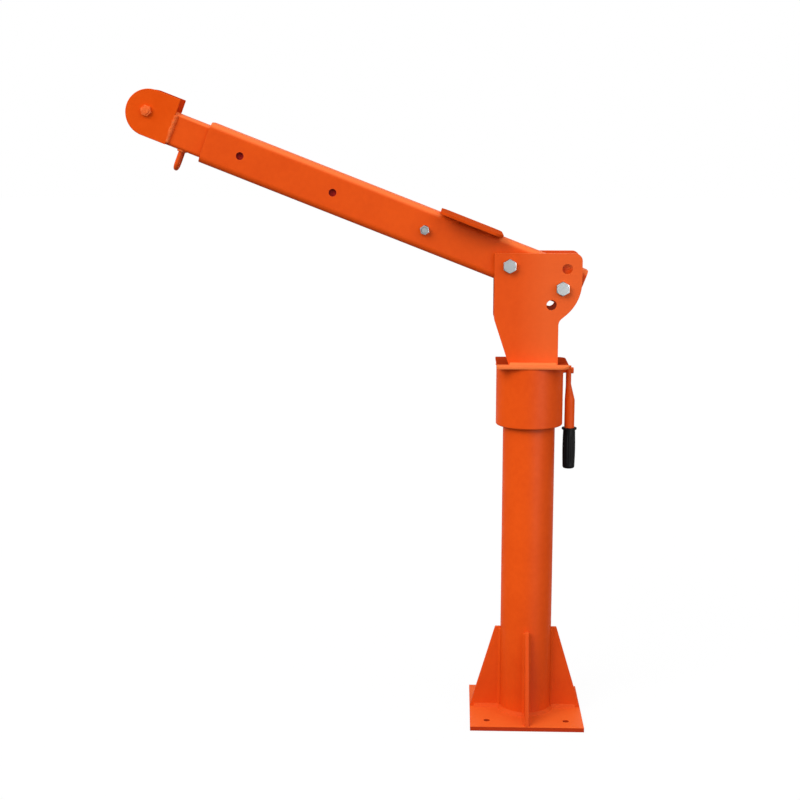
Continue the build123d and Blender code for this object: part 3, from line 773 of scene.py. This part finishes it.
class CRANE_OT_finishes(bpy.types.Operator):
    """Mix the crane's finishes and lay them on the frame's nodes"""

    bl_idname = "crane.finishes"
    bl_label = "Finishes"
    bl_options = {"REGISTER", "UNDO"}

    def execute(self, context):
        look = context.scene.crane_finish
        make_mottle()
        make_orange_peel()
        make_edge_mask()
        make_upward()
        make_fine_lines()
        make_paint("powder_coat", look)
        make_weld_paint(look)
        make_low_paint(look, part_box("base_plate")[1].z)
        # The swivel plate gets a painted lit ledge before the near bracket plate and painted shade behind it; the
        # winch plate is darkened all over as painted shade, most on its top
        make_lit_and_shaded_paint(
            "powder_coat_under_bracket", look, behind=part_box("side_plate_near")[0].y, share=0.9,
            rest_before=0.6, rest_behind=0.0,
        )
        make_lit_and_shaded_paint(
            "powder_coat_under_winch", look, behind=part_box("winch_plate")[0].y - 5.0 * MM, share=0.6,
            rest_before=0.35, rest_behind=0.35,
        )
        # Painted shade towards the floor on the column and gussets; a painted highlight on the boom's upper
        # corners and painted shade in its holes
        make_near_floor_paint(look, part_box("gusset_front")[1].z)
        make_tube_paint(look, *boom_span("winch_plate", ALONG))
        # Painted shade on the inner faces between the cheeks and between the bracket plates, and a painted sheen
        # on the bracket's tail
        cheek_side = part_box("head_cheek_far")[0].y
        make_inner_shade_paint("powder_coat_in_head", look, inner=cheek_side, share=0.85, shine=0.0)
        low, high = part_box("side_plate_far")
        make_inner_shade_paint(
            "powder_coat_in_bracket", look, inner=low.y, share=0.45, shine=look.paint_shine,
            sheen_span=[low.x + share * (high.x - low.x) for share in (0.25, 0.6)], sheen_share=0.33,
        )
        make_metal(
            "zinc_plate", look.zinc, roughness=0.34, line_stretch=(1.0, 1.0, 0.15), line_strength=0.10
        )
        make_metal(
            "turned_steel", look.steel, roughness=0.38, line_stretch=(1.0, 0.08, 1.0), line_strength=0.18
        )
        make_metal(
            "bearing_bronze", look.bronze, roughness=0.36, line_stretch=(1.0, 0.08, 1.0),
            line_strength=0.12,
        )
        make_soft_plastic("black_nylon", look.nylon, roughness=0.46, grain_scale=900.0, grain=0.15)
        make_soft_plastic("black_rubber", look.rubber, roughness=0.52, grain_scale=1400.0, grain=0.35)
        for name, node in frame["nodes"].items():
            node.material_slots[0].material = bpy.data.materials[finish_of(name)]
        return {"FINISHED"}


class CRANE_OT_base(bpy.types.Operator):
    """Round the cut edges of the base plate and its gussets"""

    bl_idname = "crane.base"
    bl_label = "Base plate and gussets"
    bl_options = {"REGISTER", "UNDO"}

    def execute(self, context):
        shape = context.scene.crane_shape
        for node in ("base_plate", *GUSSETS):
            softened(node, shape.plate_edge)
        return {"FINISHED"}


class CRANE_OT_head(bpy.types.Operator):
    """Round the cut edges of the swivel plate and the two bracket plates"""

    bl_idname = "crane.head"
    bl_label = "Slewing head"
    bl_options = {"REGISTER", "UNDO"}

    def execute(self, context):
        shape = context.scene.crane_shape
        for node in ("swivel_plate", "side_plate_near", "side_plate_far"):
            softened(node, shape.plate_edge)
        return {"FINISHED"}


class CRANE_OT_boom(bpy.types.Operator):
    """Round the sawn edges of the boom tubes, the winch plate, the cheeks and the slide strips"""

    bl_idname = "crane.boom"
    bl_label = "Boom"
    bl_options = {"REGISTER", "UNDO"}

    def execute(self, context):
        shape = context.scene.crane_shape
        for node in ("winch_plate", "head_cheek_near", "head_cheek_far"):
            softened(node, shape.plate_edge)
        for node in ("outer_boom", "inner_boom", "boom_front_guide", "boom_rear_guide"):
            softened(node, shape.tube_edge)
        return {"FINISHED"}


# Weld beads

def along_line(start, end, step):
    """Points at even steps from start to end."""
    count = max(4, round((end - start).length / step))
    return [start.lerp(end, index / count) for index in range(count + 1)]


def along_arc(centre, first, second, radius, turn_from, turn_to, step):
    """Points at even steps on an arc about a centre, turning from the first direction to the second."""
    count = max(8, round((turn_to - turn_from) * radius / step))
    turns = [turn_from + (turn_to - turn_from) * index / count for index in range(count + 1)]
    return [centre + (first * math.cos(turn) + second * math.sin(turn)) * radius for turn in turns]


def full_ring(centre, first, second, radius, step):
    """Points at even steps all round a circle."""
    return along_arc(centre, first, second, radius, 0.0, 2 * math.pi, step)[:-1]


def weld_step(shape):
    """Distance between the points of a bead."""
    return shape.weld_pitch / len(WELD_RIPPLE)


def weld_beads(name, node, beads, shape, uneven, material, rounding):
    """One piece of weld beads that rides with a node's body, rippled as much as uneven says.

    Each bead is given by its points, its leg and whether it closes. Rounding is FLAT_BEAD or ROUND_BEAD.
    """
    chance = random.Random(f"{name} {shape.weld_seed}")
    bpy.ops.object.select_all(action="DESELECT")
    bpy.ops.curve.primitive_nurbs_path_add()
    piece = bpy.context.active_object
    piece.name = name
    curve = piece.data
    curve.splines.clear()
    curve.bevel_depth = 1.0
    curve.bevel_resolution = rounding
    curve.use_fill_caps = True
    for points, leg, closes in beads:
        spline = curve.splines.new("POLY")
        spline.points.add(len(points) - 1)
        spline.use_cyclic_u = closes
        swell = 0.0
        for index, point in enumerate(points):
            ripple = uneven * WELD_RIPPLE[index % len(WELD_RIPPLE)]
            if index % len(WELD_RIPPLE) == 0:
                swell = DRIFT_KEPT * swell + chance.uniform(-WELD_DRIFT, WELD_DRIFT) * uneven
            to_end = min(index, len(points) - 1 - index)
            taper = 1.0 if closes else WELD_TAPER[min(to_end, len(WELD_TAPER) - 1)]
            spline.points[index].co = (*point, 1.0)
            spline.points[index].radius = leg * (1.0 + ripple + swell) * taper
    only(piece)
    bpy.ops.object.convert(target="MESH")
    bpy.ops.object.shade_smooth_by_angle(angle=CREASE_ANGLE)
    return settle(piece, node, material)


def base_beads(shape):
    """Beads round the column's foot and along the gussets.

    They start inside the next plate or tube, so that they meet at their full size.
    """
    leg = 1.3 * shape.weld_leg
    upright_leg = 0.8 * leg
    sunk = 0.6 * leg
    toe_gap = 1.4 * leg
    top_gap = 0.4 * leg
    ring_end = 0.2
    step = weld_step(shape)
    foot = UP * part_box("base_plate")[1].z
    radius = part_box("column")[1].x
    beads = []
    for quarter, node in enumerate(GUSSETS):
        low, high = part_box(node)
        half = min(high.x - low.x, high.y - low.y) / 2
        reach = max(high.x, high.y, -low.x, -low.y)
        root = math.sqrt(radius ** 2 - half ** 2)
        start = math.asin(ring_end * half / radius)
        out = Vector((math.cos(quarter * math.pi / 2), math.sin(quarter * math.pi / 2), 0.0))
        aside = UP.cross(out)
        ring = along_arc(foot, out, aside, radius, start, math.pi / 2 - start, step)
        beads.append((ring, leg, False))
        for hand in (-1, 1):
            corner = foot + out * root + aside * half * hand
            toe = foot + out * (reach - toe_gap) + aside * half * hand
            top = corner + UP * (high.z - low.z - top_gap)
            beads.append((along_line(corner - out * sunk, toe, step), leg, False))
            beads.append((along_line(corner - UP * sunk, top, step), upright_leg, False))
    return beads


def bracket_beads(shape):
    """Beads at the feet of the bracket plates, smaller on their inner sides."""
    step = weld_step(shape)
    inner_leg = 0.6 * shape.weld_leg
    beads = []
    for node in ("side_plate_near", "side_plate_far"):
        low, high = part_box(node)
        foot = [point.x for point in points_of(node) if point.z < low.z + ON_FACE]
        for y in (low.y, high.y):
            outer = abs(y) == max(abs(low.y), abs(high.y))
            leg = shape.weld_leg if outer else inner_leg
            end_gap = 0.3 * leg
            start = Vector((min(foot) + end_gap, y, low.z))
            end = Vector((max(foot) - end_gap, y, low.z))
            beads.append((along_line(start, end, step), leg, False))
    return beads


def sleeve_beads(shape):
    """Beads round the sleeve under the swivel plate and round the handle's boss."""
    step = weld_step(shape)
    sleeve_leg = 0.36 * shape.weld_leg
    boss_leg = 0.3 * shape.weld_leg
    ahead = Vector((1.0, 0.0, 0.0))
    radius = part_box("sleeve")[1].x
    under = Vector((0.0, 0.0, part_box("swivel_plate")[0].z))
    low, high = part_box("handle_boss")
    boss = Vector((radius, 0.0, (low.z + high.z) / 2))
    return [
        (full_ring(under, ahead, ACROSS, radius, step), sleeve_leg, True),
        (full_ring(boss, ACROSS, UP, (high.z - low.z) / 2, step), boss_leg, True),
    ]


def boom_beads(shape):
    """Beads under the winch plate, along both sides of the boom's top."""
    step = weld_step(shape)
    leg = 0.7 * shape.weld_leg
    end_gap = 2.0 * shape.weld_leg
    start, end = boom_span("winch_plate", ALONG)
    sunk = 1.0 * MM
    level = boom_span("outer_boom", RISE)[1] - BOOM_AXIS_LIFT - sunk
    seam_share = 0.76
    seam = seam_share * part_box("outer_boom")[1].y
    beads = []
    for hand in (-1, 1):
        first = boom_point(start + end_gap, level, seam * hand)
        last = boom_point(end - end_gap, level, seam * hand)
        beads.append((along_line(first, last, step), leg, False))
    return beads


def extension_beads(shape):
    """Beads behind the head's cheeks and round the two roots of the eye ring."""
    step = weld_step(shape)
    cheek_leg = 1.35 * shape.weld_leg
    root_leg = 0.9 * shape.weld_leg
    cheek_share = 0.9
    tail = boom_span("head_cheek_near", ALONG)[0]
    bottom, top = (reach - BOOM_AXIS_LIFT for reach in boom_span("inner_boom", RISE))
    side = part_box("inner_boom")[1].y
    rear, front = boom_span("eye_ring", ALONG)
    rod = (front - rear) / 2
    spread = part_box("eye_ring")[1].y - rod
    beads = []
    for hand in (-1, 1):
        first = boom_point(tail, cheek_share * bottom, side * hand)
        last = boom_point(tail, cheek_share * top, side * hand)
        beads.append((along_line(first, last, step), cheek_leg, False))
    for hand in (-1, 1):
        root = boom_point((rear + front) / 2, bottom, spread * hand)
        beads.append((full_ring(root, ALONG, ACROSS, rod, step), root_leg, True))
    return beads


class CRANE_OT_welds(bpy.types.Operator):
    """Lay the painted weld beads between plates and tubes"""

    bl_idname = "crane.welds"
    bl_label = "Welds"
    bl_options = {"REGISTER", "UNDO"}

    def execute(self, context):
        shape = context.scene.crane_shape
        plain_coat = "powder_coat"
        rough_coat = "powder_coat_on_weld"
        low_coat = finish_of("column")
        ledge_coat = finish_of("swivel_plate")
        # The base welds share the painted shade near the floor, the bracket welds the swivel plate's painted lit
        # ledge and shade, and the extension welds the flecked coat with its painted light
        for name, node, beads, uneven, coat, rounding in (
            ("base_welds", "base_plate", base_beads(shape), 0.35, low_coat, FLAT_BEAD),
            ("bracket_welds", "swivel_plate", bracket_beads(shape), 0.4, ledge_coat, FLAT_BEAD),
            ("head_welds", "swivel_plate", sleeve_beads(shape), 0.8, plain_coat, FLAT_BEAD),
            ("boom_welds", "outer_boom", boom_beads(shape), 0.3, plain_coat, ROUND_BEAD),
            ("extension_welds", "inner_boom", extension_beads(shape), 0.8, rough_coat, ROUND_BEAD),
        ):
            weld_beads(name, node, beads, shape, uneven, coat, rounding)
        return {"FINISHED"}


# Bolts, grip and sheave

def threaded(node, nut, shape):
    """Copy of a bolt with rounded edges and a threaded end beyond the nut, standing for the bolt."""
    bolt_low, bolt_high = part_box(node)
    nut_low, nut_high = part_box(nut)
    facing = 1.0 if bolt_high.y > nut_high.y else -1.0
    tip = bolt_high.y if facing > 0 else bolt_low.y
    face = nut_high.y if facing > 0 else nut_low.y
    centre = (nut_low + nut_high) / 2
    ends = [point for point in points_of(node) if abs(point.y - tip) < ON_FACE]
    radius = max(math.hypot(end.x - centre.x, end.z - centre.z) for end in ends)
    pitch = 2 * radius * shape.thread_ratio
    depth = THREAD_DEPTH * pitch
    cut_level = face - facing * pitch

    piece = merged_copy(node)
    edit_all(piece)
    bpy.ops.mesh.bisect(
        plane_co=(0.0, cut_level, 0.0), plane_no=(0.0, facing, 0.0), use_fill=True, clear_outer=True
    )
    close_edit()
    round_edges(piece, shape.bolt_edge)

    length = abs(tip - cut_level)
    rings = round(length / pitch * THREAD_RINGS)
    stations = []
    for ring in range(rings + 1):
        height = length * ring / rings
        stations.append((min(radius, radius - depth + LEAD_SLOPE * (length - height)), height))

    def thread(crest, height, angle):
        """Radius on the thread: the crest's own, less the groove at this height and angle."""
        turn = (height / pitch - angle / (2 * math.pi)) % 1.0
        groove = min(1.0, GROOVE_SLOPE * (1.0 - abs(2.0 * turn - 1.0)))
        return min(crest, radius - depth * groove)

    outward = Vector((0.0, facing, 0.0)).to_track_quat("Z", "Y").to_matrix().to_4x4()
    place = Matrix.Translation((centre.x, cut_level, centre.z)) @ outward
    end = turned(f"{node}_thread", stations, THREAD_SIDES, place, thread)
    end.select_set(True)
    piece.select_set(True)
    bpy.context.view_layer.objects.active = piece
    bpy.ops.object.join()
    smooth(piece)
    return settle(piece, node, finish_of(node), (node,))


class CRANE_OT_bolts(bpy.types.Operator):
    """Round the edges of bolts, nuts and washers and cut the threads that show"""

    bl_idname = "crane.bolts"
    bl_label = "Bolts, nuts and washers"
    bl_options = {"REGISTER", "UNDO"}

    def execute(self, context):
        shape = context.scene.crane_shape
        for bolt, nut in (
            ("pivot_bolt", "pivot_nut"), ("lock_bolt_end", "lock_nut"),
            ("extension_bolt", "extension_nut"), ("sheave_bolt", "sheave_nut"),
        ):
            threaded(bolt, nut, shape)
        for node in (
            "pivot_nut", "pivot_washer", "lock_bolt", "lock_nut", "lock_washer", "extension_nut",
            "extension_washer", "sheave_nut", "handle_screw",
        ):
            softened(node, shape.bolt_edge)
        return {"FINISHED"}


class CRANE_OT_grip(bpy.types.Operator):
    """Mould the rubber grip: rounded end, fluted barrel and collar"""

    bl_idname = "crane.grip"
    bl_label = "Handle grip"
    bl_options = {"REGISTER", "UNDO"}

    def execute(self, context):
        shape = context.scene.crane_shape
        low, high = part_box("handle_grip")
        collar = (high.x - low.x) / 2
        length = high.z - low.z
        bore = collar - 5.4 * MM
        bore_depth = 3.0 * MM
        barrel = collar - 3.2 * MM
        belly = 0.9 * MM
        barrel_foot = GRIP_END[-1][1]
        barrel_top = length - 5.5 * MM
        collar_foot = length - 4.1 * MM
        stations = [(share * barrel, height) for share, height in GRIP_END]
        for ring in range(1, GRIP_RINGS):
            share = ring / GRIP_RINGS
            swell = belly * math.sin(math.pi * share)
            stations.append((barrel + swell, barrel_foot + share * (barrel_top - barrel_foot)))
        stations.extend([(barrel, barrel_top), (barrel, collar_foot)])
        stations.extend((collar - inward, length - depth) for inward, depth in GRIP_COLLAR)
        stations.extend([(bore, length), (bore, length - bore_depth)])
        flute_depth = 0.75 * MM
        flute_foot = 9.0 * MM
        flute_top = length - 13.0 * MM
        flute_fade = 4.0 * MM

        def flute(radius, height, angle):
            """Radius on the barrel: less a flute's depth, which fades out towards both ends."""
            inside = min(1.0, max(0.0, min(height - flute_foot, flute_top - height) / flute_fade))
            wave = 0.5 + 0.5 * math.cos(shape.flutes * angle)
            return radius - flute_depth * inside * wave ** 3

        middle = (low + high) / 2
        place = Matrix.Translation((middle.x, middle.y, low.z))
        sides = GRIP_SIDES_PER_FLUTE * shape.flutes
        piece = turned("handle_grip_rubber", stations, sides, place, flute)
        smooth(piece)
        settle(piece, "handle_grip", "black_rubber", ("handle_grip",))
        return {"FINISHED"}


class CRANE_OT_sheave(bpy.types.Operator):
    """Round the turned edges of the sheave"""

    bl_idname = "crane.sheave"
    bl_label = "Sheave"
    bl_options = {"REGISTER", "UNDO"}

    def execute(self, context):
        softened("sheave", context.scene.crane_shape.bolt_edge)
        return {"FINISHED"}


# Stage

def seen_mask(tree):
    """Mask that is 1 for rays from the camera, a mirror or glass."""
    path = tree.nodes.new("ShaderNodeLightPath")
    mirror = math_node(tree, "MAXIMUM", path.outputs["Is Camera Ray"], path.outputs["Is Glossy Ray"])
    return math_node(tree, "MAXIMUM", mirror, path.outputs["Is Transmission Ray"])


def show_mixed(tree, mask, unseen, seen, output):
    """Mix two shaders by a mask into the surface of an output."""
    mix = tree.nodes.new("ShaderNodeMixShader")
    tree.links.new(mask, mix.inputs["Fac"])
    tree.links.new(unseen, mix.inputs[1])
    tree.links.new(seen, mix.inputs[2])
    tree.links.new(mix.outputs["Shader"], tree.nodes[output].inputs["Surface"])


def make_world(strength):
    """World: plain white where it is seen or mirrored, an even light elsewhere."""
    world = bpy.data.worlds.new("studio")
    world.use_nodes = True
    tree = world.node_tree
    seen = tree.nodes["Background"]
    seen.inputs["Color"].default_value = (1.0, 1.0, 1.0, 1.0)
    light = tree.nodes.new("ShaderNodeBackground")
    light.inputs["Color"].default_value = (1.0, 1.0, 1.0, 1.0)
    light.inputs["Strength"].default_value = strength
    unseen_shader, seen_shader = light.outputs["Background"], seen.outputs["Background"]
    show_mixed(tree, seen_mask(tree), unseen_shader, seen_shader, "World Output")
    return world


def make_floor_material():
    """Pale floor that keeps the crane's shadow and otherwise shows white."""
    material = bpy.data.materials.new("pale_floor")
    material.use_nodes = True
    tree = material.node_tree
    grey = 0.16
    glow_strength = 1.32
    glow_share = 0.72
    matt = tree.nodes["Principled BSDF"]
    matt.inputs["Base Color"].default_value = (grey, grey, grey, 1.0)
    matt.inputs["Roughness"].default_value = 1.0
    matt.inputs["Specular IOR Level"].default_value = 0.0
    glow = tree.nodes.new("ShaderNodeEmission")
    glow.inputs["Strength"].default_value = glow_strength
    share = math_node(tree, "MULTIPLY", seen_mask(tree), glow_share)
    show_mixed(tree, share, matt.outputs["BSDF"], glow.outputs["Emission"], "Material Output")
    return material


def soft_sun(name, lean, turn, breadth, strength):
    """Sun that leans from straight down and turns to the right, in degrees, with a broad disc."""
    bpy.ops.object.light_add(type="SUN", rotation=(math.radians(lean), 0.0, math.radians(turn)))
    sun = bpy.context.active_object
    sun.name = name
    sun.data.energy = strength
    sun.data.angle = math.radians(breadth)


def gloss_panel(name, place, aim, size, power):
    """Flat light that only shows in the gloss of surfaces."""
    bpy.ops.object.light_add(type="AREA", location=place)
    panel = bpy.context.active_object
    panel.name = name
    panel.data.shape = "RECTANGLE"
    panel.data.size, panel.data.size_y = size
    panel.data.energy = power
    panel.visible_diffuse = False
    panel.rotation_euler = (Vector(aim) - Vector(place)).to_track_quat("-Z", "Y").to_euler()


class CRANE_OT_stage(bpy.types.Operator):
    """Set the floor, the light and the camera"""

    bl_idname = "crane.stage"
    bl_label = "Stage"
    bl_options = {"REGISTER", "UNDO"}

    def execute(self, context):
        stage = context.scene.crane_stage
        bpy.ops.object.select_all(action="DESELECT")
        bpy.ops.mesh.primitive_plane_add(size=FLOOR_SIZE)
        floor = context.active_object
        floor.name = "floor"
        floor.data.materials.append(make_floor_material())
        context.scene.world = make_world(stage.ambient)

        soft_sun("key", lean=57.0, turn=-40.0, breadth=38.0, strength=stage.key)
        soft_sun("fill", lean=64.0, turn=42.0, breadth=60.0, strength=stage.fill)
        gloss_panel(
            "strip", place=(1.9, -2.7, 0.8), aim=(0.0, 0.0, 0.65), size=(1.5, 2.0), power=stage.strip
        )
        gloss_panel(
            "lid", place=(-0.4, -0.5, 4.0), aim=(-0.4, 0.0, 1.2), size=(2.0, 1.5), power=stage.lid
        )

        bpy.ops.object.camera_add(
            location=stage.eye, rotation=(math.radians(90.0) - stage.tilt, 0.0, stage.turn)
        )
        camera = context.active_object
        camera.data.sensor_width = SENSOR_WIDTH
        camera.data.lens = stage.lens
        context.scene.camera = camera
        context.scene.view_settings.view_transform = "Standard"
        return {"FINISHED"}


class CRANE_PT_panel(bpy.types.Panel):
    """Lists the crane's settings and steps"""

    bl_label = "Swing crane"
    bl_idname = "CRANE_PT_panel"
    bl_space_type = "VIEW_3D"
    bl_region_type = "UI"
    bl_category = "Swing crane"

    def draw(self, context):
        for group in (context.scene.crane_finish, context.scene.crane_shape, context.scene.crane_stage):
            box = self.layout.box()
            for name in group.__annotations__:
                box.prop(group, name)
        for step in STEPS:
            self.layout.operator(step.bl_idname)


STEPS = (
    CRANE_OT_finishes,
    CRANE_OT_base,
    CRANE_OT_head,
    CRANE_OT_boom,
    CRANE_OT_welds,
    CRANE_OT_bolts,
    CRANE_OT_grip,
    CRANE_OT_sheave,
    CRANE_OT_stage,
)
SETTINGS = {"crane_finish": CraneFinish, "crane_shape": CraneShape, "crane_stage": CraneStage}


def register():
    """Register the settings, the steps and the panel."""
    for name, group in SETTINGS.items():
        bpy.utils.register_class(group)
        setattr(bpy.types.Scene, name, PointerProperty(type=group))
    for step in (*STEPS, CRANE_PT_panel):
        bpy.utils.register_class(step)


def unregister():
    """Take the panel, the steps and the settings away again."""
    for step in (CRANE_PT_panel, *reversed(STEPS)):
        bpy.utils.unregister_class(step)
    for name, group in SETTINGS.items():
        delattr(bpy.types.Scene, name)
        bpy.utils.unregister_class(group)


def main():
    """Build the crane's looks step by step."""
    register()
    bpy.ops.crane.finishes()
    bpy.ops.crane.base()
    bpy.ops.crane.head()
    bpy.ops.crane.boom()
    bpy.ops.crane.welds()
    bpy.ops.crane.bolts()
    bpy.ops.crane.grip()
    bpy.ops.crane.sheave()
    bpy.ops.crane.stage()


if __name__ == "__main__":
    main()
